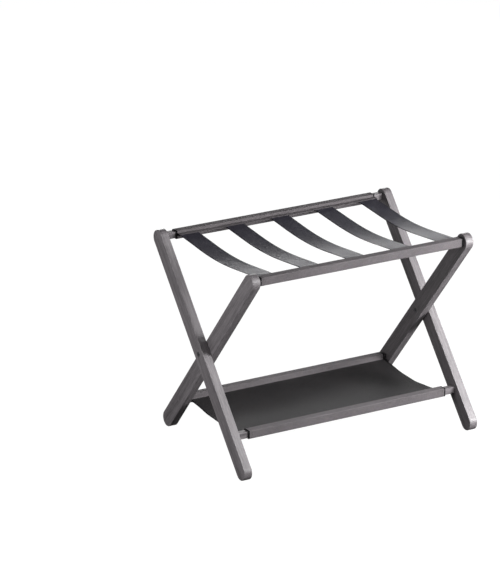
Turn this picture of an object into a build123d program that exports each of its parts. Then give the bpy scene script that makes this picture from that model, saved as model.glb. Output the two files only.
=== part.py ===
from build123d import *
import os
from math import cos, radians, sin

# Folding luggage rack: two wooden frames that cross on a pair of pivot bolts.
# The outer frame leans back at the top, the inner frame leans forward. Five
# webbing straps join the two top rails, and a cloth shelf joins the two low
# rails. Millimetres, +X along the rails, -Y the front, +Z up. The origin is on
# the floor, under the middle of the rack.

# ---- driving dimensions ----
RACK_LENGTH = 650.0        # over the outer legs
LEG_LENGTH = 644.0         # over both rounded ends
LEG_WIDTH = 40.0
LEG_THICKNESS = 21.0
LEG_LEAN = 40.0            # degrees from upright, each frame its own way
LEG_GAP = 1.0              # between an outer leg and the inner leg beside it
LEG_EDGE_ROUND = 1.2

RAIL_SIDE = 16.0           # the rails are square bars, upright in the open rack
RAIL_EDGE_ROUND = 1.0
TOP_RAIL_REACH = 305.0     # pivot to rail centre, along the leg
LOW_RAIL_REACH = 214.0

SLEEVE_SIDE = 20.5         # outside of the cloth sleeve round a rail
SLEEVE_WALL = 1.75
SLEEVE_CORNER = 2.5
TOP_SLEEVE_LENGTH = 556.0
LOW_SLEEVE_LENGTH = 550.0
TONGUE_REACH = 13.5        # sewn lip that holds the strap ends
TONGUE_THICKNESS = 3.2
TONGUE_RISE = 2.6          # of the lip's middle over the rail's centre

STRAP_COUNT = 5
STRAP_PITCH = 125.0
STRAP_WIDTH = 50.0
STRAP_THICKNESS = 1.8
STRAP_SAG = 12.8
STRAP_FREE_END = 0.3       # clearance to the front sleeve, on the other frame

SHELF_THICKNESS = 1.2
SHELF_DROP = 3.0           # of the shelf's edge below the low rail's centre
SHELF_SAG = 11.2

DOWEL_RADIUS = 4.0         # the dowels go right through the legs
DOWEL_END_SETBACK = 0.15   # of a dowel's end below the leg's outside face
DOWEL_IN_RAIL = 20.0
GLUE_GAP = 0.05
HOLE_END_SPARE = 0.5

BARREL_RADIUS = 4.0
PIVOT_CLEARANCE = 0.08
BOLT_RADIUS = 2.5
BOLT_LENGTH = 30.0
THREAD_GAP = 0.05
HEAD_RADIUS = 6.0
HEAD_THICKNESS = 1.6
HEAD_SEAT_DEPTH = 1.8
HEAD_SEAT_CLEARANCE = 0.2
BARREL_END_SPARE = 2.0
HEX_SOCKET_RADIUS = 2.3    # corner radius of a 4 mm hex key socket
HEX_SOCKET_DEPTH = 1.1
WASHER_RADIUS = 9.0
WASHER_THICKNESS = 0.9

# ---- worked out ----
HALF_LENGTH = RACK_LENGTH / 2
OUTER_LEG_INSIDE = HALF_LENGTH - LEG_THICKNESS
INNER_LEG_OUTSIDE = OUTER_LEG_INSIDE - LEG_GAP
INNER_LEG_INSIDE = INNER_LEG_OUTSIDE - LEG_THICKNESS

LEAN_SIN = sin(radians(LEG_LEAN))
LEAN_COS = cos(radians(LEG_LEAN))
END_ARC_REACH = (LEG_LENGTH - LEG_WIDTH) / 2
PIVOT_HEIGHT = END_ARC_REACH * LEAN_COS + LEG_WIDTH / 2
TOP_RAIL_Y = TOP_RAIL_REACH * LEAN_SIN
TOP_RAIL_Z = PIVOT_HEIGHT + TOP_RAIL_REACH * LEAN_COS
LOW_RAIL_Y = LOW_RAIL_REACH * LEAN_SIN
LOW_RAIL_Z = PIVOT_HEIGHT - LOW_RAIL_REACH * LEAN_COS

OUTER_RAIL_ENDS = [(TOP_RAIL_Y, TOP_RAIL_Z), (-LOW_RAIL_Y, LOW_RAIL_Z)]
INNER_RAIL_ENDS = [(-TOP_RAIL_Y, TOP_RAIL_Z), (LOW_RAIL_Y, LOW_RAIL_Z)]


def x_rod(radius, x_start, x_end, y=0.0, z=PIVOT_HEIGHT):
    """A round rod along X. By default it lies on the pivot line."""
    rod = Cylinder(radius, abs(x_end - x_start))
    return Pos((x_start + x_end) / 2, y, z) * Rot(Y=90) * rod


def x_bar(profile, length):
    """A bar along X, centred, from a profile whose plane is (Y, Z)."""
    return extrude(Plane.YZ * profile, length / 2, both=True)


# ---- wooden frames ----
def leg(inside_x, lean, rail_ends):
    """The right-hand leg of one frame, bored for its pivot and two dowels."""
    blank = extrude(Plane.YZ * SlotOverall(LEG_LENGTH, LEG_WIDTH, rotation=90), LEG_THICKNESS)
    blank = fillet(blank.faces().filter_by(Axis.X).edges(), LEG_EDGE_ROUND)
    wood = Pos(inside_x, 0, PIVOT_HEIGHT) * Rot(X=lean) * blank
    wood -= x_rod(BARREL_RADIUS + PIVOT_CLEARANCE, inside_x, inside_x + LEG_THICKNESS)
    for y, z in rail_ends:
        wood -= x_rod(DOWEL_RADIUS + GLUE_GAP, inside_x, inside_x + LEG_THICKNESS, y, z)
    return wood


def outer_leg():
    """Outer leg, with the bolt head's seat sunk in its outside face."""
    wood = leg(OUTER_LEG_INSIDE, -LEG_LEAN, OUTER_RAIL_ENDS)
    seat = HEAD_RADIUS + HEAD_SEAT_CLEARANCE
    return wood - x_rod(seat, HALF_LENGTH - HEAD_SEAT_DEPTH, HALF_LENGTH)


def inner_leg():
    """Inner leg, with the barrel head's seat sunk in its inside face."""
    wood = leg(INNER_LEG_INSIDE, LEG_LEAN, INNER_RAIL_ENDS)
    seat = HEAD_RADIUS + HEAD_SEAT_CLEARANCE
    return wood - x_rod(seat, INNER_LEG_INSIDE, INNER_LEG_INSIDE + HEAD_SEAT_DEPTH)


def rail(half_length, y, z):
    """A square rail that butts against both legs, bored for a dowel at each end."""
    wood = x_bar(RectangleRounded(RAIL_SIDE, RAIL_SIDE, RAIL_EDGE_ROUND), 2 * half_length)
    wood = Pos(0, y, z) * wood
    for side in (-1, 1):
        end = side * half_length
        bottom = end - side * (DOWEL_IN_RAIL + HOLE_END_SPARE)
        wood -= x_rod(DOWEL_RADIUS + GLUE_GAP, bottom, end, y, z)
    return wood


def dowels(leg_inside, rail_ends):
    """The four glued dowels of one frame, two at each end of the rack."""
    pins = Part()
    for side in (-1, 1):
        for y, z in rail_ends:
            inner_end = side * (leg_inside - DOWEL_IN_RAIL)
            outer_end = side * (leg_inside + LEG_THICKNESS - DOWEL_END_SETBACK)
            pins += x_rod(DOWEL_RADIUS, inner_end, outer_end, y, z)
    return pins


# ---- pivot hardware, right-hand end ----
def hex_socket(x_face, direction):
    """The key socket cut into a head, from its face inwards."""
    hexagon = Plane.YZ * RegularPolygon(HEX_SOCKET_RADIUS, 6)
    return Pos(x_face, 0, PIVOT_HEIGHT) * extrude(hexagon, direction * HEX_SOCKET_DEPTH)


def pivot_bolt():
    """Flat-headed bolt, sunk in the outer leg and screwed into the barrel."""
    seat = HALF_LENGTH - HEAD_SEAT_DEPTH
    head_face = seat + HEAD_THICKNESS
    head = x_rod(HEAD_RADIUS, seat, head_face)
    shank = x_rod(BOLT_RADIUS, seat - BOLT_LENGTH, seat)
    return head + shank - hex_socket(head_face, -1)


def pivot_barrel():
    """Barrel nut that both legs turn on, with its head in the inner leg."""
    seat = INNER_LEG_INSIDE + HEAD_SEAT_DEPTH
    head_face = seat - HEAD_THICKNESS
    barrel_end = HALF_LENGTH - HEAD_SEAT_DEPTH - BARREL_END_SPARE
    bolt_end = HALF_LENGTH - HEAD_SEAT_DEPTH - BOLT_LENGTH
    head = x_rod(HEAD_RADIUS, head_face, seat)
    barrel = x_rod(BARREL_RADIUS, seat, barrel_end)
    thread = x_rod(BOLT_RADIUS + THREAD_GAP, bolt_end - HOLE_END_SPARE, barrel_end)
    return head + barrel - thread - hex_socket(head_face, 1)


def pivot_washer():
    """Thin nylon washer that keeps the two legs apart."""
    slack = (LEG_GAP - WASHER_THICKNESS) / 2
    near, far = INNER_LEG_OUTSIDE + slack, OUTER_LEG_INSIDE - slack
    return x_rod(WASHER_RADIUS, near, far) - x_rod(BARREL_RADIUS + PIVOT_CLEARANCE, near, far)


# ---- cloth ----
def sleeve_profile():
    """Cloth tube that wraps a square rail, centred on the rail."""
    inside = SLEEVE_SIDE - 2 * SLEEVE_WALL
    return RectangleRounded(SLEEVE_SIDE, SLEEVE_SIDE, SLEEVE_CORNER) - Rectangle(inside, inside)


def top_sleeve(inward):
    """Top sleeve. Its sewn lip points inward, to the other top rail."""
    lip_middle = inward * (SLEEVE_SIDE / 2 - SLEEVE_WALL / 2 + (TONGUE_REACH + SLEEVE_WALL / 2) / 2)
    lip = Rectangle(TONGUE_REACH + SLEEVE_WALL / 2, TONGUE_THICKNESS)
    profile = sleeve_profile() + Pos(lip_middle, TONGUE_RISE) * lip
    return Pos(0, -inward * TOP_RAIL_Y, TOP_RAIL_Z) * x_bar(profile, TOP_SLEEVE_LENGTH)


def low_sleeve(y):
    """Sleeve at one edge of the cloth shelf."""
    return Pos(0, y, LOW_RAIL_Z) * x_bar(sleeve_profile(), LOW_SLEEVE_LENGTH)


def sagging_sheet(y_front, y_rear, edge_z, sag, thickness, width):
    """A band of cloth that hangs as a shallow arc between two edges."""
    middle = (y_front + y_rear) / 2
    half = thickness / 2
    top = ThreePointArc((y_front, edge_z + half), (middle, edge_z - sag + half), (y_rear, edge_z + half))
    under = ThreePointArc((y_front, edge_z - half), (middle, edge_z - sag - half), (y_rear, edge_z - half))
    outline = [top, Line(top @ 1, under @ 1), under, Line(under @ 0, top @ 0)]
    return x_bar(make_face(outline), width)


def strap(x):
    """One webbing strap, sewn to the rear lip and hanging to the front one."""
    lip_end = TOP_RAIL_Y - SLEEVE_SIDE / 2 - TONGUE_REACH
    edge_z = TOP_RAIL_Z + TONGUE_RISE
    band = sagging_sheet(STRAP_FREE_END - lip_end, lip_end, edge_z, STRAP_SAG, STRAP_THICKNESS, STRAP_WIDTH)
    return Pos(x, 0, 0) * band


def shelf_sheet():
    """The shelf's cloth, between its two sleeves."""
    edge = LOW_RAIL_Y - SLEEVE_SIDE / 2
    edge_z = LOW_RAIL_Z - SHELF_DROP
    return sagging_sheet(-edge, edge - STRAP_FREE_END, edge_z, SHELF_SAG, SHELF_THICKNESS, LOW_SLEEVE_LENGTH)


# ---- the nodes ----
nodes = {
    "top_rail_rear": rail(OUTER_LEG_INSIDE, TOP_RAIL_Y, TOP_RAIL_Z),
    "bottom_rail_front": rail(OUTER_LEG_INSIDE, -LOW_RAIL_Y, LOW_RAIL_Z),
    "top_rail_front": rail(INNER_LEG_INSIDE, -TOP_RAIL_Y, TOP_RAIL_Z),
    "bottom_rail_rear": rail(INNER_LEG_INSIDE, LOW_RAIL_Y, LOW_RAIL_Z),
    "outer_frame_dowels": dowels(OUTER_LEG_INSIDE, OUTER_RAIL_ENDS),
    "inner_frame_dowels": dowels(INNER_LEG_INSIDE, INNER_RAIL_ENDS),
    "top_sleeve_rear": top_sleeve(-1),
    "top_sleeve_front": top_sleeve(1),
    "shelf_sleeve_front": low_sleeve(-LOW_RAIL_Y),
    "shelf_sleeve_rear": low_sleeve(LOW_RAIL_Y),
    "shelf_sheet": shelf_sheet(),
}

right_hand = {
    "outer_leg": outer_leg(),
    "inner_leg": inner_leg(),
    "pivot_bolt": pivot_bolt(),
    "pivot_barrel": pivot_barrel(),
    "pivot_washer": pivot_washer(),
}
for name, part in right_hand.items():
    nodes[name + "_right"] = part
    nodes[name + "_left"] = mirror(part, about=Plane.YZ)

for number in range(STRAP_COUNT):
    offset = (number - (STRAP_COUNT - 1) / 2) * STRAP_PITCH
    nodes[f"strap_{number + 1}"] = strap(offset)

os.makedirs("parts", exist_ok=True)
for name, part in nodes.items():
    export_step(part, f"parts/{name}.step")
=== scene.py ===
# %% [markdown]
# # A folding luggage rack
# The rack is two wooden frames that cross on a pair of pivot bolts. Cloth sleeves are sewn round
# the rails, five webbing straps join the two top sleeves, and one cloth shelf joins the two low
# rails. The wood and the hardware arrive as finished solids, so this notebook gives them their
# finishes, and makes everything that is cloth: sleeves, straps, shelf and thread.
#
# The first cell loads those solids. Nothing here moves them.

# %% Load the rack's solids
import math

import bmesh
import bpy
import numpy as np
from mathutils import Matrix, Vector


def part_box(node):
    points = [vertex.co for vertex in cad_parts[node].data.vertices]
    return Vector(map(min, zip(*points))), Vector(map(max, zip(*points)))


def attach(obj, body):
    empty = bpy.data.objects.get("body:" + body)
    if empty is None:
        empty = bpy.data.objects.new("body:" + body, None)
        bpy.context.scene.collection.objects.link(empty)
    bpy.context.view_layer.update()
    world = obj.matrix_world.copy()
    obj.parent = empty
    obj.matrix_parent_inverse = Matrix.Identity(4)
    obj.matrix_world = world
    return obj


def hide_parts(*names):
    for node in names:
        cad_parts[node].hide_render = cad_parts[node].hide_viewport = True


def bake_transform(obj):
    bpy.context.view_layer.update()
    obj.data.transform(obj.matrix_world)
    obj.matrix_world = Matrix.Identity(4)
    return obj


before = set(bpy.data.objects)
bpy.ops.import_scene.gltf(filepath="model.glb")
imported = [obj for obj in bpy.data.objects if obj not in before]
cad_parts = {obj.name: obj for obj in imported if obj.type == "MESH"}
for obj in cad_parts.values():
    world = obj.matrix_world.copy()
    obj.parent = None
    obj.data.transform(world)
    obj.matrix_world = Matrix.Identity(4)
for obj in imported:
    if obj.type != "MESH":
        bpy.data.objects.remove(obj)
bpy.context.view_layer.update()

scene = bpy.context.scene

# %% [markdown]
# ## Measuring the wood
# Cloth is cut to fit the wood that it goes on, so every place below is read from the solids:
# where each rail runs, how thick a sleeve is, how far the sewn lip reaches. A maker would do the
# same with a tape on the finished frames before cutting any cloth.

# %% Where the rails and sleeves are
def middle(node):
    low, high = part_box(node)
    return (low + high) / 2


def size(node):
    low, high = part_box(node)
    return high - low


PIVOT_Z = middle("pivot_bolt_right").z
TOP_Y = middle("top_rail_rear").y
TOP_Z = middle("top_rail_rear").z
LOW_Y = middle("bottom_rail_rear").y
LOW_Z = middle("bottom_rail_rear").z
RAIL_SIDE = size("top_rail_rear").z
SLEEVE_HALF = size("shelf_sleeve_rear").z / 2
TOP_SLEEVE_HALF_LENGTH = size("top_sleeve_rear").x / 2
SHELF_HALF_LENGTH = size("shelf_sheet").x / 2
LIP_REACH = size("top_sleeve_rear").y - 2 * SLEEVE_HALF
LIP_TIP_Y = TOP_Y - SLEEVE_HALF - LIP_REACH
STRAP_WIDTH = size("strap_1").x
STRAP_X = [middle(f"strap_{n}").x for n in range(1, 6)]
STRAP_LOW, STRAP_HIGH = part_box("strap_1")
SHELF_LOW, SHELF_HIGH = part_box("shelf_sheet")

# %% [markdown]
# ## Camera
# A long lens from some way off, as for a catalogue: it keeps upright legs upright and the near
# and far ends of the rack almost the same size. The camera stands to the left of the front and
# looks a little down, so that the straps, the shelf and both crossed ends all show.

# %% Place the camera
VIEW_AZIMUTH = math.radians(-30.49)
VIEW_ELEVATION = math.radians(19.36)
VIEW_DISTANCE = 8.806
AIM = Vector((-0.1843, 0.0, 0.4092))
LENS_MM = 239.5

back = Vector((
    math.sin(VIEW_AZIMUTH) * math.cos(VIEW_ELEVATION),
    -math.cos(VIEW_AZIMUTH) * math.cos(VIEW_ELEVATION),
    math.sin(VIEW_ELEVATION),
))
camera = bpy.data.objects.new("camera", bpy.data.cameras.new("camera"))
scene.collection.objects.link(camera)
camera.location = AIM + back * VIEW_DISTANCE
camera.rotation_euler = back.to_track_quat("Z", "Y").to_euler()
camera.data.lens = LENS_MM
camera.data.sensor_width = 36.0
camera.data.clip_start = 0.1
camera.data.clip_end = 100.0
scene.camera = camera
scene.view_settings.view_transform = "Standard"
print("camera at", [round(v, 2) for v in camera.location])

# %% [markdown]
# ## Writing shaders as sums
# A finish is easier to read as arithmetic than as a drawing of boxes and wires. The small class
# below wraps one output of a node. Adding, subtracting or multiplying two of them puts in the
# Math node that does it, so `1 - wear` means just that. Colours and vectors have their own nodes.

# %% A socket that does arithmetic
class Value:
    """One output socket of a node tree, with the usual operators."""

    def __init__(self, finish, socket):
        self.finish, self.socket = finish, socket

    def math(self, operation, *others):
        values = {n + 1: other for n, other in enumerate(others)}
        return self.finish.node("ShaderNodeMath", {"operation": operation}, {0: self, **values})

    def __add__(self, other):
        return self.math("ADD", other)

    def __sub__(self, other):
        return self.math("SUBTRACT", other)

    def __rsub__(self, other):
        return self.finish.node("ShaderNodeMath", {"operation": "SUBTRACT"}, {0: other, 1: self})

    def __mul__(self, other):
        return self.math("MULTIPLY", other)

    def __abs__(self):
        return self.math("ABSOLUTE")

    def clamped(self):
        return self.math("MAXIMUM", 0.0).math("MINIMUM", 1.0)

    def rises(self, start, end):
        """0 before start, 1 after end, and smooth between them."""
        settings = {"interpolation_type": "SMOOTHSTEP"}
        return self.finish.node("ShaderNodeMapRange", settings, {0: self, 1: start, 2: end})

    __radd__, __rmul__ = __add__, __mul__


class Finish:
    """A material being written. node() adds any node and returns its first output."""

    def __init__(self, name):
        self.material = bpy.data.materials.new(name)
        self.material.use_nodes = True
        self.tree = self.material.node_tree
        self.tree.nodes.clear()
        self.output = self.tree.nodes.new("ShaderNodeOutputMaterial")

    def node(self, kind, settings=None, values=None, out=0):
        made = self.tree.nodes.new(kind)
        for key, setting in (settings or {}).items():
            setattr(made, key, setting)
        for key, value in (values or {}).items():
            self.plug(made.inputs[key], value)
        return Value(self, made.outputs[out])

    def plug(self, socket, value):
        if isinstance(value, Value):
            self.tree.links.new(value.socket, socket)
        elif hasattr(value, "__len__") and len(value) == 3 and socket.type == "RGBA":
            socket.default_value = (*value, 1.0)
        else:
            socket.default_value = value

    def split(self, vector):
        parts = self.node("ShaderNodeSeparateXYZ", values={0: vector}).socket.node
        return [Value(self, parts.outputs[k]) for k in range(3)]

    def join(self, x, y, z):
        return self.node("ShaderNodeCombineXYZ", values={0: x, 1: y, 2: z})

    def mix(self, factor, first, second):
        """A colour between two colours."""
        return self.node(
            "ShaderNodeMix", {"data_type": "RGBA"}, {0: factor, 6: first, 7: second}, out=2
        )

    def noise(self, vector, scale, detail=2.0, roughness=0.5, distortion=0.0):
        values = {"Vector": vector, "Scale": scale, "Detail": detail}
        values.update({"Roughness": roughness, "Distortion": distortion})
        return self.node("ShaderNodeTexNoise", values=values)

    def surface(self, colour, roughness, height=None, bump=0.3, depth=0.0005, **constants):
        """The main shader. The constants are the same all over the piece."""
        values = {"Base Color": colour, "Roughness": roughness, **constants}
        if height is not None:
            heights = {"Height": height, "Strength": bump, "Distance": depth}
            values["Normal"] = self.node("ShaderNodeBump", values=heights)
        return self.shade_with(self.node("ShaderNodeBsdfPrincipled", values=values))

    def shade_with(self, shader):
        self.tree.links.new(shader.socket, self.output.inputs["Surface"])
        return self.material


print("shader helpers:", Value.__name__, Finish.__name__)

# %% [markdown]
# ## Floor and light
# A plain pale floor that runs out of view, and soft studio light. A real studio would paint the
# floor and the wall white and flood them with light. Here the floor glows a little for the camera
# alone, so it stays white without lighting the rack from below, and the undersides stay dark.
#
# Six softboxes stand in front, above and to the right, so the right-hand legs are the brightest.
# A weaker one lights the left-hand ends. Two long low strips and a softbox far behind rake across
# the straps and the shelf, whose rear parts lie in the shadow of their rails. The floor is seen
# only from above, so a look from underneath isn't blocked.

# %% Floor
FLOOR_REACH = 30.0
FLOOR_GLOW = 1.06
FLOOR_GLOW_SHARE = 0.94
FLOOR_GREY = (0.80, 0.80, 0.80)
FLOOR_BOUNCE_GREY = (0.06, 0.06, 0.06)


def pale_floor():
    finish = Finish("pale_floor")
    grey = finish.node("ShaderNodeBsdfDiffuse", values={"Color": FLOOR_GREY})
    glow = finish.node("ShaderNodeEmission", values={"Color": (1, 1, 1), "Strength": FLOOR_GLOW})
    seen = finish.node("ShaderNodeMixShader", values={0: FLOOR_GLOW_SHARE, 1: grey, 2: glow})
    bounce = finish.node("ShaderNodeBsdfDiffuse", values={"Color": FLOOR_BOUNCE_GREY})
    looked_at = finish.node("ShaderNodeLightPath")
    above = finish.node("ShaderNodeMixShader", values={0: looked_at, 1: bounce, 2: seen})
    clear = finish.node("ShaderNodeBsdfTransparent")
    under = finish.node("ShaderNodeNewGeometry", out=6)
    return finish.shade_with(
        finish.node("ShaderNodeMixShader", values={0: under, 1: above, 2: clear})
    )


floor_mesh = bpy.data.meshes.new("floor")
floor_corners = [(-1, -1), (1, -1), (1, 1), (-1, 1)]
floor_mesh.from_pydata(
    [(x * FLOOR_REACH, y * FLOOR_REACH, 0) for x, y in floor_corners], [], [(0, 1, 2, 3)]
)
floor = bpy.data.objects.new("floor", floor_mesh)
scene.collection.objects.link(floor)
floor.data.materials.append(pale_floor())
print("floor", 2 * FLOOR_REACH, "m square")

# %% Lights
RACK_MIDDLE = (0.0, 0.0, 0.28)
RIGHT_LEGS = (0.3, 0.0, 0.3)
RIGHT_HALF = (0.2, 0.0, 0.3)
LEFT_HALF = (-0.2, 0.0, 0.3)
ROOM_LIGHT = 0.03
WALL_WHITE = 1.0
# Each row: name, place, aim, width and height in metres, watts.
SOFTBOXES = [
    ("high_softbox", (1.25, -1.2, 2.1), RACK_MIDDLE, 1.0, 1.0, 14),
    ("front_high_softbox", (0.8, -2.4, 2.2), RACK_MIDDLE, 1.0, 0.7, 27),
    ("front_low_softbox", (2.0, -2.6, 0.35), RACK_MIDDLE, 1.6, 0.7, 26),
    ("right_softbox", (1.0, -0.85, 0.5), RIGHT_LEGS, 0.5, 0.4, 15),
    ("front_softbox", (0.7, -1.5, 1.1), RACK_MIDDLE, 0.7, 0.5, 17),
    ("key_softbox", (1.3, -1.1, 0.85), RIGHT_HALF, 0.6, 0.6, 18),
    ("near_left_softbox", (-1.25, -0.25, 0.5), LEFT_HALF, 0.7, 0.7, 9.4),
    ("rear_low_strip", (1.9, 3.2, 0.75), RACK_MIDDLE, 3.2, 0.3, 46),
    ("rear_high_strip", (1.9, 3.2, 1.07), RACK_MIDDLE, 3.2, 0.3, 16),
    ("far_left_softbox", (-2.2, 3.0, 0.5), RACK_MIDDLE, 2.4, 1.0, 16),
]


def softbox(name, place, aim, width, height, watts):
    data = bpy.data.lights.new(name, "AREA")
    data.shape, data.size, data.size_y, data.energy = "RECTANGLE", width, height, watts
    lamp = bpy.data.objects.new(name, data)
    scene.collection.objects.link(lamp)
    lamp.location = place
    lamp.visible_camera = False
    lamp.rotation_euler = (Vector(place) - Vector(aim)).to_track_quat("Z", "Y").to_euler()


def background(tree, strength):
    made = tree.nodes.new("ShaderNodeBackground")
    made.inputs["Color"].default_value = (1, 1, 1, 1)
    made.inputs["Strength"].default_value = strength
    return made.outputs[0]


for row in SOFTBOXES:
    softbox(*row)

world = bpy.data.worlds.new("studio")
scene.world = world
world.use_nodes = True
sky = world.node_tree
sky.nodes.clear()
light_path = sky.nodes.new("ShaderNodeLightPath")
pick = sky.nodes.new("ShaderNodeMixShader")
sky_out = sky.nodes.new("ShaderNodeOutputWorld")
sky.links.new(light_path.outputs["Is Camera Ray"], pick.inputs[0])
sky.links.new(background(sky, ROOM_LIGHT), pick.inputs[1])
sky.links.new(background(sky, WALL_WHITE), pick.inputs[2])
sky.links.new(pick.outputs[0], sky_out.inputs["Surface"])

# %% [markdown]
# ## Painted wood
# Legs and rails are hardwood under a thin charcoal paint. Paint fills the pores but the grain
# still shows as faint streaks along each bar. The sharp corners are painted a little paler, partly
# as rubbed paint and partly as a painted highlight where light catches the edges. The pattern
# needs to know which way each bar runs, so a Mapping node turns the object's own coordinates until
# X is along the grain, and the same numbers then give the distance to the bar's long edges.

# %% Charcoal painted wood
PAINT_DARK = (0.066, 0.060, 0.064)
PAINT_PALE = (0.200, 0.184, 0.194)
# Paler edge colour: rubbed paint, and also a painted highlight along the sharp edges.
PAINT_RUBBED_AND_EDGE_HIGHLIGHT = (0.245, 0.228, 0.238)
RUBBED_AND_HIGHLIT_FROM_EDGE = (0.0002, 0.0016)
PAINT_ROUGHNESS = 0.46


def painted_wood(name, centre, turn, half_size, seed, gloss):
    """turn carries the bar onto the X axis. half_size is half its length, width and thickness,
    and seed moves the pattern along the bar, so that no two bars are alike."""
    half_length, half_width, half_thickness = half_size
    finish = Finish(name)
    place = finish.node("ShaderNodeTexCoord", out=3)
    centred = finish.node(
        "ShaderNodeVectorMath", {"operation": "SUBTRACT"}, {0: place, 1: tuple(centre)}
    )
    turned = finish.node("ShaderNodeMapping", {"vector_type": "POINT"}, {0: centred, 2: turn})
    along, across, through = finish.split(turned)

    def grain_noise(along_scale, cross_scale, offset=0.0, **settings):
        """Noise stretched along the bar. The scales are in features per metre."""
        place = finish.join(
            along * along_scale + offset, across * cross_scale, through * cross_scale
        )
        return finish.noise(place, 1.0, **settings)

    streaks = grain_noise(5.0, 170.0, seed, detail=4.0, roughness=0.62, distortion=0.35)
    fine = grain_noise(16.0, 430.0, seed, detail=3.0, roughness=0.7, distortion=0.2)
    pores = grain_noise(70.0, 1300.0, roughness=0.6)
    rings = grain_noise(1.1, 34.0, seed, distortion=0.8)
    cloud = finish.noise(centred, 9.0, 2.0)

    beyond = (abs(along) - (half_length - half_width)).math("MAXIMUM", 0.0)
    outward = (across * across + beyond * beyond).math("SQRT")
    from_edge = (half_width - outward).math("MAXIMUM", half_thickness - abs(through))
    chatter = grain_noise(60.0, 60.0, detail=3.0)
    # Paler sharp edges: partly rubbed paint, partly a painted highlight where light catches the
    # edges.
    rubbed_and_highlit = (1.0 - from_edge.rises(*RUBBED_AND_HIGHLIT_FROM_EDGE)) * chatter.rises(0.35, 0.75) * 0.75

    grain = (streaks - 0.5) * 1.1 + (fine - 0.5) * 2.0 + (rings - 0.5) * 0.7
    grain = grain + (pores - 0.5) * 1.5 + 0.47
    shade = (grain * 0.8 + cloud * 0.2).clamped()
    colour = finish.mix(shade, PAINT_DARK, PAINT_PALE)
    colour = finish.mix(rubbed_and_highlit, colour, PAINT_RUBBED_AND_EDGE_HIGHLIGHT)
    roughness = PAINT_ROUGHNESS + (cloud - 0.5) * 0.10 + (streaks - 0.5) * 0.14 - rubbed_and_highlit * 0.06
    height = streaks * 0.5 + fine * 0.5 + pores * 0.5
    constants = {"Specular IOR Level": gloss}
    return finish.surface(colour, roughness, height, bump=0.4, depth=0.0003, **constants)


def dress(node, material):
    """Gives a solid from the workshop its finish."""
    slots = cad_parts[node].data.materials
    slots.clear()
    slots.append(material)


LEGS = ["outer_leg_left", "outer_leg_right", "inner_leg_left", "inner_leg_right"]
RAILS = ["top_rail_rear", "top_rail_front", "bottom_rail_front", "bottom_rail_rear"]
LEG_LEAN = math.radians(40)
# A leg's length is to the tips of its round ends. A rail has no round end, so any long size does.
LEG_HALF_SIZE = (0.322, 0.020, size("outer_leg_left").x / 2)
RAIL_HALF_SIZE = (1.0, RAIL_SIDE / 2, RAIL_SIDE / 2)
LEG_GLOSS, RAIL_GLOSS = 0.5, 0.25
for number, node in enumerate(LEGS):
    lean = LEG_LEAN if node.startswith("outer") else -LEG_LEAN
    centre = Vector((middle(node).x, 0.0, PIVOT_Z))
    to_grain = Matrix.Rotation(math.pi / 2, 3, "Y") @ Matrix.Rotation(lean, 3, "X")
    turn, seed = tuple(to_grain.to_euler()), number * 3.7
    dress(node, painted_wood(f"painted_{node}", centre, turn, LEG_HALF_SIZE, seed, LEG_GLOSS))
for number, node in enumerate(RAILS):
    centre, turn, seed = middle(node), (0.0, 0.0, 0.0), 20.0 + number * 2.9
    dress(node, painted_wood(f"painted_{node}", centre, turn, RAIL_HALF_SIZE, seed, RAIL_GLOSS))
print("painted bars:", sum(m.name.startswith("painted_") for m in bpy.data.materials))

# %% [markdown]
# ## Pivot hardware and dowels
# The bolt and its barrel nut are blackened steel, dark and a little mottled. The washer is black
# nylon. The dowels are beech, bare inside the joint, and their outer ends are painted over with
# the leg, so that each joint shows as a faint ring on the outside. Each finish is a few lines of
# noise: at this size nobody sees more of them than colour, gloss and a slight unevenness.

# %% Blackened steel, nylon and beech
def blackened_steel():
    finish = Finish("blackened_steel")
    place = finish.node("ShaderNodeTexCoord", out=3)
    mottle = finish.noise(place, 420.0, 3.0, 0.6)
    turned_lines = finish.noise(place, 2600.0, 1.0)
    colour = finish.mix(mottle.rises(0.35, 0.75), (0.10, 0.10, 0.106), (0.22, 0.22, 0.23))
    roughness = 0.34 + mottle * 0.16
    return finish.surface(colour, roughness, turned_lines, bump=0.15, depth=0.0001, Metallic=0.8)


def black_nylon():
    finish = Finish("black_nylon")
    place = finish.node("ShaderNodeTexCoord", out=3)
    mottle = finish.noise(place, 900.0, 2.0)
    colour = finish.mix(mottle, (0.018, 0.018, 0.019), (0.035, 0.035, 0.037))
    return finish.surface(colour, 0.5 + mottle * 0.15, mottle, bump=0.2, depth=0.0001)


def beech_with_painted_ends(name, end_x):
    finish = Finish(name)
    place = finish.node("ShaderNodeTexCoord", out=3)
    x, y, z = finish.split(place)
    fleck = finish.noise(finish.join(x * 60.0, y * 900.0, z * 900.0), 1.0, 3.0)
    bare = finish.mix(fleck.rises(0.3, 0.7), (0.46, 0.29, 0.16), (0.66, 0.47, 0.30))
    end_grain = finish.noise(place, 1400.0, 3.0, 0.6)
    paint = finish.mix(end_grain, PAINT_DARK, PAINT_PALE)
    painted = abs(x).rises(end_x - 0.0012, end_x - 0.0006)
    colour = finish.mix(painted, bare, paint)
    return finish.surface(colour, 0.6 - painted * 0.12, fleck + end_grain, bump=0.3, depth=0.0002)


steel, nylon = blackened_steel(), black_nylon()
for side in ("left", "right"):
    dress(f"pivot_bolt_{side}", steel)
    dress(f"pivot_barrel_{side}", steel)
    dress(f"pivot_washer_{side}", nylon)
for node in ("outer_frame_dowels", "inner_frame_dowels"):
    dress(node, beech_with_painted_ends(f"beech_{node}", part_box(node)[1].x))
print("hardware finishes:", steel.name, nylon.name)

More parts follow.
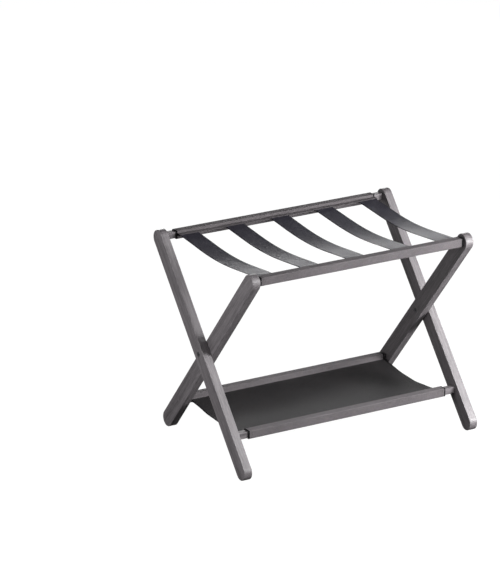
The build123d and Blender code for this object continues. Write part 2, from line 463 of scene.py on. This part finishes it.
# %% [markdown]
# ## Cloth finishes
# Three cloths: grey oxford on the top sleeves, charcoal oxford for the shelf, and ribbed webbing
# for the straps. Each piece of cloth below carries a UV map in real metres, measured along the
# flat cloth before it was folded. The weave is drawn in those metres, so it bends round corners
# with the cloth and its threads are the same size everywhere.

# %% Woven cloth and webbing
def flat_cloth(finish):
    """The place on the flat cloth, and its metres along the warp and the weft."""
    place = finish.node("ShaderNodeUVMap", {"uv_map": "flat_cloth"})
    u, v, _ = finish.split(place)
    return place, u, v


def wave(value, pitch):
    """From 0 to 1 and back, once in each pitch."""
    return (value * (2 * math.pi / pitch)).math("SINE") * 0.5 + 0.5


OXFORD_PITCH = 0.0011
OXFORD_GLOSS = 0.05
# Black band at the cloth's cut ends: partly overlock, partly painted shade at the sleeves' open
# mouths.
OVERLOCK_AND_END_SHADE = (0.006, 0.006, 0.007)
OVERLOCK_AND_END_SHADE_REACH = (0.0030, 0.0036)
RIB_PITCH = 0.0032
HERRINGBONE_PITCH = RIB_PITCH / 2
WEBBING_GLOSS = 0.22
THREAD_GLOSS = 0.15


def oxford_cloth(name, dark, pale, roughness):
    """A basket weave of thick soft threads, with slubs. Its cut ends are overlocked in black, and
    the band is widened as painted shade at the sleeves' open ends.
    """
    finish = Finish(name)
    place, u, v = flat_cloth(finish)
    from_end = finish.node("ShaderNodeAttribute", {"attribute_name": "from_end"}, out=2)
    # The black band at each cut end is partly overlock and partly painted shade at the sleeve's open
    # mouth.
    overlocked_and_end_shaded = 1.0 - from_end.rises(*OVERLOCK_AND_END_SHADE_REACH)
    warp, weft = wave(u, OXFORD_PITCH), wave(v, OXFORD_PITCH)
    over = (wave(u, 2 * OXFORD_PITCH) - 0.5) * (wave(v, 2 * OXFORD_PITCH) - 0.5)
    crossing = over.rises(-0.08, 0.08)
    thread = warp * crossing + weft * (1.0 - crossing)
    warp_slubs = finish.noise(finish.join(u * 90.0, v * 1400.0, 0.0), 1.0)
    weft_slubs = finish.noise(finish.join(u * 1400.0, v * 90.0, 3.0), 1.0)
    cloud = finish.noise(place, 14.0, 3.0)
    shade = thread * 0.45 + (warp_slubs + weft_slubs - 1.0) * 0.7 + (cloud - 0.5) * 0.5 + 0.25
    colour = finish.mix(shade.clamped(), dark, pale)
    colour = finish.mix(overlocked_and_end_shaded, colour, OVERLOCK_AND_END_SHADE)
    rough = roughness + (cloud - 0.5) * 0.08
    height = thread + (warp_slubs + weft_slubs) * 0.35
    constants = {"Specular IOR Level": OXFORD_GLOSS}
    return finish.surface(colour, rough, height, bump=0.45, depth=0.00018, **constants)


def webbing(name, dark, pale, selvage):
    """Ribs across the strap, a fine herringbone in each, and a tighter dark selvage."""
    finish = Finish(name)
    place, u, v = flat_cloth(finish)
    rib = wave(u, RIB_PITCH)
    lean = wave(u + abs(v) * 0.9, HERRINGBONE_PITCH)
    cloud = finish.noise(place, 30.0, 3.0)
    slubs = finish.noise(finish.join(u * 60.0, v * 1800.0, 0.0), 1.0)
    near_edge = abs(v).rises(STRAP_WIDTH / 2 - 0.0022, STRAP_WIDTH / 2 - 0.0012)
    shade = rib * 0.75 + lean * 0.3 + (slubs - 0.5) * 1.3 + (cloud - 0.5) * 0.3 - 0.02
    colour = finish.mix(shade.clamped(), dark, pale)
    colour = finish.mix(near_edge, colour, selvage)
    rough = 0.50 + (cloud - 0.5) * 0.08 + near_edge * 0.15
    height = rib * (1.0 - near_edge) + lean * 0.4 + slubs * 0.4
    constants = {"Specular IOR Level": WEBBING_GLOSS}
    return finish.surface(colour, rough, height, bump=0.4, depth=0.0002, **constants)


def thread_finish(name, dark, pale):
    """Twisted sewing thread."""
    finish = Finish(name)
    place = finish.node("ShaderNodeTexCoord", out=3)
    x, y, z = finish.split(place)
    twist = wave(x + y + z * 0.7, 0.0007)
    colour = finish.mix(twist, dark, pale)
    constants = {"Specular IOR Level": THREAD_GLOSS}
    return finish.surface(colour, 0.6 + twist * 0.1, twist, bump=0.5, depth=0.0001, **constants)


sleeve_cloth = oxford_cloth("sleeve_cloth", (0.062, 0.057, 0.060), (0.155, 0.142, 0.150), 0.70)
shelf_cloth = oxford_cloth("shelf_cloth", (0.012, 0.0115, 0.012), (0.038, 0.0355, 0.037), 0.66)
strap_webbing = webbing(
    "strap_webbing", (0.008, 0.008, 0.011), (0.064, 0.060, 0.079), (0.009, 0.009, 0.011)
)
sleeve_thread = thread_finish("sleeve_thread", (0.050, 0.046, 0.049), (0.130, 0.120, 0.127))
shelf_thread = thread_finish("shelf_thread", (0.010, 0.010, 0.011), (0.032, 0.031, 0.032))
print("cloth finishes:", sleeve_cloth.name, shelf_cloth.name, strap_webbing.name)

# %% [markdown]
# ## A shell from a sheet
# Cloth has two faces and a rounded cut or folded edge. The helper below takes a grid of points
# for one face and how thick the cloth is at each, and builds the other face and the rim between
# them, so the result is closed. A ready-made Solidify modifier gives one thickness everywhere;
# doing it here lets a hem be twice as thick as the cloth beside it.

# %% Shell helper
RIM_BULGE = 0.42


def outward_mesh(mesh):
    """Turns every face outward and shades it smooth."""
    worked = bmesh.new()
    worked.from_mesh(mesh)
    bmesh.ops.recalc_face_normals(worked, faces=worked.faces)
    worked.to_mesh(mesh)
    worked.free()
    mesh.polygons.foreach_set("use_smooth", [True] * len(mesh.polygons))


def add_piece(name, mesh):
    piece = bpy.data.objects.new(name, mesh)
    scene.collection.objects.link(piece)
    print(name, "faces", len(mesh.polygons))
    return piece


def cloth_shell(name, face, inward, thickness, flat, from_end, *materials):
    """face and inward are grids of points and directions, flat is each point's place on the cloth,
    and from_end how far it is from the cloth's cut end."""
    rows, columns = face.shape[:2]
    other = face + inward * thickness[..., None]
    ring = [(i, 0) for i in range(rows)]
    ring += [(rows - 1, j) for j in range(1, columns)]
    ring += [(i, columns - 1) for i in range(rows - 2, -1, -1)]
    ring += [(0, j) for j in range(columns - 2, 0, -1)]
    rim, rim_flat, rim_end = [], [], []
    for i, j in ring:
        step_i = 1 if i == 0 else (-1 if i == rows - 1 else 0)
        step_j = 1 if j == 0 else (-1 if j == columns - 1 else 0)
        centre = (face[i, j] + other[i, j]) / 2
        away = centre - (face[i + step_i, j + step_j] + other[i + step_i, j + step_j]) / 2
        away = away / np.linalg.norm(away)
        rim.append(centre + away * thickness[i, j] * RIM_BULGE)
        rim_flat.append(flat[i, j])
        rim_end.append(from_end[i, j])
    points = np.concatenate([face.reshape(-1, 3), other.reshape(-1, 3), np.array(rim)])
    places = np.concatenate([flat.reshape(-1, 2), flat.reshape(-1, 2), np.array(rim_flat)])
    index = np.arange(rows * columns).reshape(rows, columns)
    corners = [index[:-1, :-1], index[1:, :-1], index[1:, 1:], index[:-1, 1:]]
    quads = np.stack(corners, axis=-1).reshape(-1, 4)
    under = quads[:, ::-1] + rows * columns
    loop = np.array([index[i, j] for i, j in ring])
    following = np.roll(loop, -1)
    edge = 2 * rows * columns + np.arange(len(ring))
    next_edge = np.roll(edge, -1)
    top_rim = np.stack([following, loop, edge, next_edge], axis=-1)
    low_rim = np.stack([next_edge, edge, loop + rows * columns, following + rows * columns], axis=-1)
    faces = np.concatenate([quads, under, top_rim, low_rim])

    mesh = bpy.data.meshes.new(name)
    mesh.from_pydata(points.tolist(), [], faces.tolist())
    layer = mesh.uv_layers.new(name="flat_cloth")
    corner = np.zeros(len(mesh.loops), np.int32)
    mesh.loops.foreach_get("vertex_index", corner)
    layer.data.foreach_set("uv", places[corner].astype(np.float32).ravel())
    ends = np.concatenate([from_end.ravel(), from_end.ravel(), rim_end])
    end_layer = mesh.attributes.new("from_end", "FLOAT", "POINT")
    end_layer.data.foreach_set("value", ends.astype(np.float32))
    outward_mesh(mesh)
    for material in materials:
        mesh.materials.append(material)
    return add_piece(name, mesh)


def spaced(low, high, step, ends=()):
    """Even places from low to high, with closer ones at both ends for the rim and hem."""
    even = np.linspace(low, high, int(round((high - low) / step)) + 1)
    close = [low + e for e in ends] + [high - e for e in ends]
    return np.unique(np.round(np.concatenate([even, close]), 6))


def smooth(value, start, end):
    t = np.clip((value - start) / (end - start), 0, 1)
    return t * t * (3 - 2 * t)


# %% [markdown]
# ## Top sleeves
# Each top rail wears a cloth tube. The two edges of the cloth come together in a lip that points
# to the other rail, and the strap ends are sewn between its two layers. So the lip is thick where
# a strap goes in and thin between straps, and droops a little there. The tube is drawn as one
# line round the rail, from the lip's upper edge over the rail and back to its lower edge, with
# rounded corners, and that line is repeated along the rail.

# %% Line round a rail
def rounded_line(corners, radii, spacing):
    """Points along a line through corners, with each inner corner rounded."""
    points = [np.array(corners[0], float)]
    for before, corner, after, radius in zip(corners[:-2], corners[1:-1], corners[2:], radii):
        before, corner, after = (np.array(p, float) for p in (before, corner, after))
        start = corner + (before - corner) / np.linalg.norm(before - corner) * radius
        end = corner + (after - corner) / np.linalg.norm(after - corner) * radius
        for t in np.linspace(0, 1, 6):
            points.append((1 - t) ** 2 * start + 2 * t * (1 - t) * corner + t * t * end)
    points.append(np.array(corners[-1], float))
    filled = [points[0]]
    for a, b, count in zip(points[:-1], points[1:], spacing(points)):
        for k in range(1, count + 1):
            filled.append(a + (b - a) * k / count)
    return np.array(filled)


def even_spacing(step):
    """How many parts each length of a line is cut into. It is worked out once and kept."""
    kept = []

    def counts(points):
        if not kept:
            lengths = [np.linalg.norm(b - a) for a, b in zip(points[:-1], points[1:])]
            kept.extend(max(1, int(round(length / step))) for length in lengths)
        return kept

    return counts


def side_normals(line):
    """At each point of a line in its plane, the direction to its left."""
    along = np.gradient(line, axis=0)
    along /= np.linalg.norm(along, axis=1)[:, None]
    return np.stack([-along[:, 1], along[:, 0]], axis=1)


def arc_lengths(line):
    return np.concatenate([[0], np.cumsum(np.linalg.norm(np.diff(line, axis=0), axis=1))])


def ripple(x, y, seed, low=12.0, high=60.0, count=7):
    """A smooth uneven surface about 1 high, the same for the same seed."""
    chance = np.random.default_rng(seed)
    total = np.zeros(np.broadcast(x, y).shape)
    for _ in range(count):
        turn = chance.uniform(0, math.pi)
        wave_number, phase = chance.uniform(low, high), chance.uniform(0, 6.28)
        total = total + np.sin((x * math.cos(turn) + y * math.sin(turn)) * wave_number + phase)
    return total / math.sqrt(count)


# %% Top sleeves
CLOTH = 0.0008
CORNER_RADIUS = 0.0018
LINE_STEP = 0.0022
SLEEVE_STEP = 0.004
STRAP_THICKNESS = 0.0015
STRAP_HALF_CAD = 0.0009  # half the thickness of the plain strap that this one replaces
LIP_RISE = (STRAP_HIGH.z - STRAP_HALF_CAD) - TOP_Z
LIP_DROOP = 0.0007
GRIP_FADE = 0.012
HEM = 0.010
HEM_FADE = 0.0008
HEM_EXTRA = 0.0006
END_PLACES = (0.0003, 0.0012, HEM - HEM_FADE, HEM + HEM_FADE)


def strap_grip(x):
    """1 where a strap is between the lip's layers, 0 well away from one."""
    grip = np.zeros_like(x)
    for place in STRAP_X:
        beyond = smooth(np.abs(x - place), STRAP_WIDTH / 2, STRAP_WIDTH / 2 + GRIP_FADE)
        grip = np.maximum(grip, 1 - beyond)
    return grip


def hem_fold(from_end):
    """1 on the folded hem, 0 on the single cloth beyond it."""
    return 1 - smooth(from_end, HEM - HEM_FADE, HEM + HEM_FADE)


def top_sleeve_face(x_places, inward, seed):
    """Outside face of a top sleeve. inward is the side of the lip, -1 or 1 along Y."""
    grip = strap_grip(x_places)
    spacing = even_spacing(LINE_STEP)
    grid, turned_in, arcs = [], [], []
    for x, held in zip(x_places, grip):
        half_gap = 0.00012 + held * (STRAP_THICKNESS / 2 - 0.00005)
        droop = -LIP_DROOP * (1 - held)
        tip = SLEEVE_HALF + LIP_REACH + 0.0003 * math.sin(x * 210 + seed)
        upper, lower = LIP_RISE + half_gap + CLOTH, LIP_RISE - half_gap - CLOTH
        corners = [
            (tip, upper + droop),
            (SLEEVE_HALF, upper),
            (SLEEVE_HALF, SLEEVE_HALF),
            (-SLEEVE_HALF, SLEEVE_HALF),
            (-SLEEVE_HALF, -SLEEVE_HALF),
            (SLEEVE_HALF, -SLEEVE_HALF),
            (SLEEVE_HALF, lower),
            (tip, lower + droop),
        ]
        line = rounded_line(corners, [CORNER_RADIUS] * 6, spacing)
        left = side_normals(line)
        grid.append(line)
        turned_in.append(left)
        arcs.append(arc_lengths(line))
    line, left, arc = np.array(grid), np.array(turned_in), np.array(arcs)
    slack = smooth(-line[..., 1], -0.006, 0.010) * 0.00035
    x = x_places[:, None] * np.ones_like(arc)
    uneven = ripple(x, arc, seed) * (0.00006 + slack * 0.35)
    line = line + left * (uneven - slack * 0.6)[..., None]
    face = np.stack([x, line[..., 0] * inward, line[..., 1]], axis=-1)
    direction = np.stack([np.zeros_like(arc), left[..., 0] * inward, left[..., 1]], axis=-1)
    return face, direction, np.stack([x, arc], axis=-1)


def top_sleeve(name, node, rail_y, inward, body, seed):
    x_places = spaced(-TOP_SLEEVE_HALF_LENGTH, TOP_SLEEVE_HALF_LENGTH, SLEEVE_STEP, END_PLACES)
    face, direction, flat = top_sleeve_face(x_places, inward, seed)
    face = face + np.array([0.0, rail_y, TOP_Z])
    from_end = TOP_SLEEVE_HALF_LENGTH - np.abs(x_places)
    round_rail = np.abs(face[0, :, 1] - rail_y) < SLEEVE_HALF + 0.0005
    thickness = CLOTH + hem_fold(from_end)[:, None] * round_rail[None, :] * HEM_EXTRA
    end_grid = from_end[:, None] * np.ones_like(thickness)
    piece = cloth_shell(name, face, direction, thickness, flat, end_grid, sleeve_cloth)
    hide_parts(node)
    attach(piece, body)
    return face, direction, x_places


rear_face, rear_in, sleeve_x = top_sleeve(
    "rear_top_sleeve", "top_sleeve_rear", TOP_Y, -1, "outer_frame", 11
)
front_face, front_in, _ = top_sleeve(
    "front_top_sleeve", "top_sleeve_front", -TOP_Y, 1, "inner_frame", 23
)

# %% [markdown]
# ## Straps
# Five straps of 50 mm webbing. Each end is sewn inside a lip, and the strap hangs between them in
# a shallow curve that bends most in the middle and straightens toward the lips. Webbing is too
# thin and flat for a simulation to help, so it is drawn directly: a flat strip with rounded
# selvages that follows the curve, each one hung very slightly differently.

# %% Straps
STRAP_MIDDLE_Z = STRAP_LOW.z + STRAP_HALF_CAD
STRAP_EDGE_Z = STRAP_HIGH.z - STRAP_HALF_CAD
STRAP_IN_LIP = 0.0105
STRAP_STEP = 0.0035
STRAP_END_PLACES = (0.0004, 0.0012)
SELVAGE_START = 0.95
HALF_ACROSS = [0.2, 0.45, 0.7, 0.88, SELVAGE_START, 0.985, 1.0]
ACROSS = np.array([-v for v in reversed(HALF_ACROSS)] + [0.0] + HALF_ACROSS)


def strap_height(y, extra):
    """Height of a strap's middle layer at y."""
    share = np.clip(np.abs(y) / LIP_TIP_Y, 0, 1)
    shape = 1.46 * share ** 2 - 0.46 * share ** 4
    return STRAP_MIDDLE_Z - extra + (STRAP_EDGE_Z - STRAP_MIDDLE_Z + extra) * shape


def strap(number, x_middle):
    chance = np.random.default_rng(40 + number)
    extra, skew = chance.uniform(-0.0004, 0.0006), chance.uniform(-0.0006, 0.0006)
    reach = LIP_TIP_Y + STRAP_IN_LIP
    y_places = spaced(-reach, reach, STRAP_STEP, STRAP_END_PLACES)
    x_off = ACROSS * STRAP_WIDTH / 2
    height = strap_height(y_places, extra)
    slope = np.gradient(height, y_places)
    open_span = 1 - smooth(np.abs(y_places), LIP_TIP_Y * 0.55, LIP_TIP_Y)
    half = STRAP_THICKNESS / 2
    on_selvage = np.maximum(0, (np.abs(ACROSS) - SELVAGE_START) / 0.05)
    rounding = half * 0.55 * on_selvage ** 2
    curl = 0.0005 * ACROSS ** 4
    flutter = ripple(y_places[:, None], x_off[None, :] * 2, 70 + number, 10, 40) * 0.00018
    hang = open_span[:, None] * (curl[None, :] + flutter)
    z = height[:, None] + half - rounding[None, :] + hang
    x = x_middle + x_off[None, :] + skew * open_span[:, None]
    y = y_places[:, None] * np.ones_like(x_off)[None, :]
    tilt = np.stack([np.zeros_like(slope), slope, -np.ones_like(slope)], axis=-1)
    tilt /= np.linalg.norm(tilt, axis=1)[:, None]
    direction = np.repeat(tilt[:, None, :], len(ACROSS), axis=1)
    thickness = STRAP_THICKNESS - 2 * rounding[None, :] * np.ones_like(z)
    run = np.concatenate([[0], np.cumsum(np.hypot(np.diff(y_places), np.diff(height)))])
    flat = np.stack([run[:, None] * np.ones_like(x), x_off[None, :] * np.ones_like(x)], axis=-1)
    face = np.stack([x, y, z], axis=-1)
    piece = cloth_shell(
        f"webbing_strap_{number}", face, direction, thickness, flat, reach - np.abs(y), strap_webbing
    )
    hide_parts(f"strap_{number}")
    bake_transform(piece)
    return float(run[-1])


strap_lengths = [strap(n + 1, x) for n, x in enumerate(STRAP_X)]

# %% [markdown]
# ## Shelf
# The shelf is a charcoal cloth between two sleeves of the same grey cloth as the top ones. It
# starts as a sewn flap under the front edge, goes round the front low rail, hangs across to the
# rear low rail, goes round that and ends in another flap. Drawing it as one long line from flap
# to flap means that there is no gap to hide where a sleeve turns into the shelf. Each face then
# takes the grey or the charcoal by how far along that line it is: the colour changes at the
# crease where the cloth leaves a sleeve. Both side edges are folded under in a hem.

# %% Shelf cloth
SHELF_HALF_CAD = 0.0006  # half the thickness of the plain sheet
SHELF_EDGE_Z = (SHELF_HIGH.z - LOW_Z) - SHELF_HALF_CAD
SHELF_SAG = SHELF_HIGH.z - SHELF_LOW.z - 2 * SHELF_HALF_CAD
SHELF_CLOTH = 0.0008
SHELF_STEP = 0.005
SHEET_PLACES = 76
FLAP = 0.012
FLAP_DROOP = 0.0012
FLAP_GAP = 0.0001
SHELF_EDGE_Y = LOW_Y - SLEEVE_HALF
SEAM_FADE = 0.020


def shelf_drop(y):
    """How far the sheet hangs below its edges at y."""
    share = np.abs(y) / SHELF_EDGE_Y
    return SHELF_SAG * (1 - (1.5 * share ** 2 - 0.5 * share ** 4))


def shelf_line():
    """Outer face of the shelf cloth at its middle, as (y, z) from the floor, from flap to flap."""
    under = SHELF_EDGE_Z - SHELF_CLOTH * 2.5 - FLAP_GAP
    upper = SHELF_EDGE_Z + SHELF_CLOTH / 2
    first_y = SLEEVE_HALF + 0.008
    sleeve = [
        (SLEEVE_HALF + FLAP, under - FLAP_DROOP),
        (SLEEVE_HALF, under),
        (SLEEVE_HALF, -SLEEVE_HALF),
        (-SLEEVE_HALF, -SLEEVE_HALF),
        (-SLEEVE_HALF, SLEEVE_HALF),
        (SLEEVE_HALF, SLEEVE_HALF),
        (SLEEVE_HALF, upper),
        (first_y, upper - shelf_drop(LOW_Y - first_y)),
    ]
    radii = [0.0012, *[CORNER_RADIUS] * 4, 0.0022]
    front = rounded_line(sleeve, radii, even_spacing(LINE_STEP))
    start_y = -LOW_Y + front[-1, 0]
    y = np.linspace(start_y, -start_y, SHEET_PLACES)[1:-1]
    sheet = np.stack([y, LOW_Z + upper - shelf_drop(y)], axis=1)
    front = front * [1, 1] + [-LOW_Y, LOW_Z]
    rear = front[::-1] * [-1, 1]
    return np.concatenate([front, sheet, rear])


shelf_path = shelf_line()
shelf_arc = arc_lengths(shelf_path)
past_flap = (shelf_arc > 3 * SLEEVE_HALF) & (np.abs(shelf_path[:, 0]) < SHELF_EDGE_Y - 0.0004)
CREASE = float(shelf_arc[past_flap][0])


def shelf_unevenness(x, path_y, path_z, from_end):
    """Broad waves over the sheet, fine gathers beside each seam, and a slightly wavy hem."""
    on_sheet = 1 - smooth(np.abs(path_y), SHELF_EDGE_Y - SEAM_FADE, SHELF_EDGE_Y + 0.001)
    on_sheet = on_sheet * (1.0 - (np.abs(path_y) > SHELF_EDGE_Y))
    from_seam = SHELF_EDGE_Y - np.abs(path_y)
    gathers = np.exp(-np.clip(from_seam, 0, 1) / 0.022) * smooth(from_seam, 0, 0.006)
    broad = ripple(x, path_y * 1.6, 5, 7, 26, 9) * 0.00042
    fine = ripple(x, path_y * 0.2, 9, 120, 260, 6) * 0.00016 * gathers
    lift = (broad * on_sheet + fine) * (path_z < LOW_Z)
    return lift, np.sin(path_y * 95) * 0.0004 * (1 - smooth(from_end, 0.0, 0.05)) * on_sheet


def colour_by_crease(piece):
    """Slot 0 is the charcoal of the sheet, slot 1 the grey of the sleeves and flaps."""
    flat_places = piece.data.uv_layers["flat_cloth"].data
    for polygon in piece.data.polygons:
        along = sum(flat_places[k].uv.y for k in polygon.loop_indices) / polygon.loop_total
        polygon.material_index = 0 if CREASE < along < shelf_arc[-1] - CREASE else 1


def shelf():
    x_places = spaced(-SHELF_HALF_LENGTH, SHELF_HALF_LENGTH, SHELF_STEP, END_PLACES)
    inner = -side_normals(shelf_path)
    ones = np.ones((len(x_places), len(shelf_path)))
    x = x_places[:, None] * ones
    path_y, path_z = shelf_path[:, 0][None, :] * ones, shelf_path[:, 1][None, :] * ones
    from_end = SHELF_HALF_LENGTH - np.abs(x)
    lift, wavy_hem = shelf_unevenness(x, path_y, path_z, from_end)
    face = np.stack([x, path_y, path_z + lift + wavy_hem], axis=-1)
    direction = np.stack([np.zeros_like(x), inner[:, 0] * ones, inner[:, 1] * ones], axis=-1)
    thickness = SHELF_CLOTH + hem_fold(from_end) * HEM_EXTRA
    flat = np.stack([x, shelf_arc[None, :] * ones], axis=-1)
    piece = cloth_shell(
        "shelf_cloth", face, direction, thickness, flat, from_end, shelf_cloth, sleeve_cloth
    )
    colour_by_crease(piece)
    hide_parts("shelf_sheet", "shelf_sleeve_front", "shelf_sleeve_rear")
    return piece, face, direction, x_places


shelf_piece, shelf_face, shelf_in, shelf_x = shelf()

# %% [markdown]
# ## Stitches
# Every seam is a row of short stitches that sink a little at both ends. A row is a line drawn on
# the cloth. Geometry Nodes walk that line, set one bent stitch at each step, and turn it to lie
# along the seam and flat on the cloth. One small stitch is made once and repeated, which is how a
# sewing machine sees it too.

# %% Stitch tree
STITCH_CROWN = 1.6
STITCH_SIZES = (0.92, 1.08)
STITCH_SEED = 3


def stitch_tree():
    tree = bpy.data.node_groups.new("sewn_row", "GeometryNodeTree")
    face = tree.interface
    face.new_socket("Geometry", in_out="INPUT", socket_type="NodeSocketGeometry")
    for label in ("Pitch", "Stitch Length", "Thread Radius"):
        face.new_socket(label, in_out="INPUT", socket_type="NodeSocketFloat")
    face.new_socket("Thread", in_out="INPUT", socket_type="NodeSocketMaterial")
    face.new_socket("Geometry", in_out="OUTPUT", socket_type="NodeSocketGeometry")

    def add(kind, settings=None, values=None):
        made = tree.nodes.new(kind)
        for key, setting in (settings or {}).items():
            setattr(made, key, setting)
        for key, value in (values or {}).items():
            if isinstance(value, bpy.types.NodeSocket):
                tree.links.new(value, made.inputs[key])
            else:
                made.inputs[key].default_value = value
        return made

    def times(value, factor):
        return add("ShaderNodeMath", {"operation": "MULTIPLY"}, {0: value, 1: factor}).outputs[0]

    given = add("NodeGroupInput").outputs
    seam = add("GeometryNodeMeshToCurve", values={"Mesh": given["Geometry"]}).outputs[0]
    steps = add(
        "GeometryNodeResampleCurve", {"mode": "LENGTH"}, {"Curve": seam, "Length": given["Pitch"]}
    ).outputs[0]
    half = times(given["Stitch Length"], 0.5)
    minus = times(half, -1.0)
    sunk = times(given["Thread Radius"], -1.0)
    crown = times(given["Thread Radius"], STITCH_CROWN)
    start = add("ShaderNodeCombineXYZ", values={"X": minus, "Z": sunk}).outputs[0]
    top = add("ShaderNodeCombineXYZ", values={"Z": crown}).outputs[0]
    end = add("ShaderNodeCombineXYZ", values={"X": half, "Z": sunk}).outputs[0]
    bow = add(
        "GeometryNodeCurveQuadraticBezier",
        values={"Resolution": 4, "Start": start, "Middle": top, "End": end},
    )
    ring = add(
        "GeometryNodeCurvePrimitiveCircle",
        values={"Resolution": 5, "Radius": given["Thread Radius"]},
    )
    stitch = add(
        "GeometryNodeCurveToMesh",
        values={"Curve": bow.outputs[0], "Profile Curve": ring.outputs[0], "Fill Caps": True},
    )
    along = add("GeometryNodeInputTangent").outputs[0]
    out = add(
        "GeometryNodeInputNamedAttribute",
        {"data_type": "FLOAT_VECTOR"}, {"Name": "out_of_cloth"},
    ).outputs[0]
    turn = add(
        "FunctionNodeAxesToRotation", {"primary_axis": "X", "secondary_axis": "Z"},
        {"Primary Axis": along, "Secondary Axis": out},
    ).outputs[0]
    uneven = add("FunctionNodeRandomValue", {"data_type": "FLOAT"}, {"Seed": STITCH_SEED})
    uneven.inputs[2].default_value, uneven.inputs[3].default_value = STITCH_SIZES
    rows = add(
        "GeometryNodeInstanceOnPoints",
        values={
            "Points": steps, "Instance": stitch.outputs[0],
            "Rotation": turn, "Scale": uneven.outputs[1],
        },
    ).outputs[0]
    real = add("GeometryNodeRealizeInstances", values={"Geometry": rows}).outputs[0]
    dyed = add(
        "GeometryNodeSetMaterial", values={"Geometry": real, "Material": given["Thread"]}
    ).outputs[0]
    result = add("NodeGroupOutput")
    tree.links.new(dyed, result.inputs[0])
    return tree


sewn_row = stitch_tree()
identifiers = {s.name: s.identifier for s in sewn_row.interface.items_tree if s.in_out == "INPUT"}
print("stitch inputs:", sorted(identifiers))


# %% Sewing helper
STITCH_PITCH = 0.0034
STITCH_SHARE = 0.80
THREAD_RADIUS = 0.00022
ABOVE_CLOTH = 0.00005


def sew(name, seams, thread):
    """seams is a list of (points, outward directions). Returns one plain mesh of stitches."""
    points, edges, out = [], [], []
    for line, outward in seams:
        first = len(points)
        points.extend((line + outward * ABOVE_CLOTH).tolist())
        out.extend(outward.tolist())
        edges.extend((first + k, first + k + 1) for k in range(len(line) - 1))
    mesh = bpy.data.meshes.new(name + "_path")
    mesh.from_pydata(points, edges, [])
    facing = mesh.attributes.new("out_of_cloth", "FLOAT_VECTOR", "POINT")
    facing.data.foreach_set("vector", np.array(out, np.float32).ravel())
    path = bpy.data.objects.new(name + "_path", mesh)
    scene.collection.objects.link(path)
    modifier = path.modifiers.new("sewn_row", "NODES")
    modifier.node_group = sewn_row
    modifier[identifiers["Pitch"]] = STITCH_PITCH
    modifier[identifiers["Stitch Length"]] = STITCH_PITCH * STITCH_SHARE
    modifier[identifiers["Thread Radius"]] = THREAD_RADIUS
    modifier[identifiers["Thread"]] = thread
    evaluated = path.evaluated_get(bpy.context.evaluated_depsgraph_get())
    made = bpy.data.meshes.new_from_object(evaluated)
    bpy.data.objects.remove(path)
    made.name = name
    outward_mesh(made)
    return add_piece(name, made)


def seam_along(face, direction, column):
    """A seam that runs the length of the rail, at one column of the cloth's grid."""
    return face[3:-3, column], -direction[3:-3, column]


def column_at(face, direction, y, upper):
    """The grid column nearest to y, on the upper or the lower layer."""
    side = direction[0, :, 2] < -0.5 if upper else direction[0, :, 2] > 0.5
    distance = np.where(side, np.abs(face[0, :, 1] - y), 1.0)
    return int(np.argmin(distance))


# %% [markdown]
# ## Sewing the seams
# A top sleeve has two rows along its lip, one beside the rail and one near the tip, where they
# also hold the straps. The shelf has one row beside each low rail. Every hem has a row across it.
# Rows on both layers of a lip are drawn, because the underside is seen from below. The seams are
# picked out of the cloth's own grid, so they lie on it exactly.

# %% Sew the top sleeves
LIP_SEAMS = (0.0032, LIP_REACH - 0.0026)
SLEEVE_HEM_SEAM = 0.0075


def sew_top_sleeve(name, face, direction, rail_y, inward, body):
    seams = []
    for reach in LIP_SEAMS:
        y = rail_y + inward * (SLEEVE_HALF + reach)
        for upper in (True, False):
            seams.append(seam_along(face, direction, column_at(face, direction, y, upper)))
    near_rail = np.abs(face[0, :, 1] - rail_y) < SLEEVE_HALF + 0.0002
    around = np.flatnonzero(near_rail)[2:-2]
    hem_x = TOP_SLEEVE_HALF_LENGTH - SLEEVE_HEM_SEAM
    for x in (-hem_x, hem_x):
        row = int(np.argmin(np.abs(sleeve_x - x)))
        seams.append((face[row, around], -direction[row, around]))
    piece = sew(name, seams, sleeve_thread)
    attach(piece, body)


sew_top_sleeve("rear_sleeve_stitches", rear_face, rear_in, TOP_Y, -1, "outer_frame")
sew_top_sleeve("front_sleeve_stitches", front_face, front_in, -TOP_Y, 1, "inner_frame")

# %% Sew the shelf
SHELF_SEAM = 0.0065
SHELF_HEM_SEAM = 0.0078


def sew_shelf():
    seams = []
    for y in (-SHELF_EDGE_Y + SHELF_SEAM, SHELF_EDGE_Y - SHELF_SEAM):
        for upper in (True, False):
            column = column_at(shelf_face, shelf_in, y, upper)
            seams.append(seam_along(shelf_face, shelf_in, column))
    hem_x = SHELF_HALF_LENGTH - SHELF_HEM_SEAM
    for x in (-hem_x, hem_x):
        row = int(np.argmin(np.abs(shelf_x - x)))
        seams.append((shelf_face[row, 3:-3], -shelf_in[row, 3:-3]))
    return sew("shelf_stitches", seams, shelf_thread)


shelf_stitches = sew_shelf()
for piece in (shelf_piece, shelf_stitches):
    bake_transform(piece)
